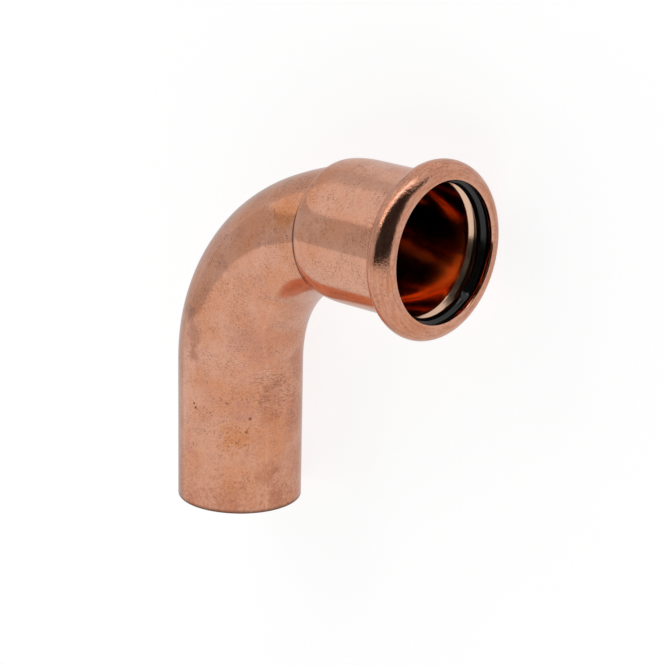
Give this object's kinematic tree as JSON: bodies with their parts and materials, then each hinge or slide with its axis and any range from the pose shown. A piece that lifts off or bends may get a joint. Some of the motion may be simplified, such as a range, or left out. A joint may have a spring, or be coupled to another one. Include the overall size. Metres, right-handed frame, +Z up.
{
  "type": "press fit fitting",
  "caption": "Copper street elbow for press joints: a plain tube end, a quarter bend and a press socket with a rubber seal ring in its rolled bead.",
  "frame": {"origin": "centre of the box round the elbow, on the surface that it lies on", "axes": "+X the way the socket's mouth faces, seen from above; -Y the way the plain spigot points; +Z up, away from the surface that the elbow lies on"},
  "size_m": [0.058, 0.0686, 0.0299],
  "materials": {
    "copper": "satin",
    "seal_rubber": "gloss"
  },
  "bodies": {
    "root": {"elbow_body": "copper", "seal_ring": "seal_rubber"}
  },
  "joints": []
}
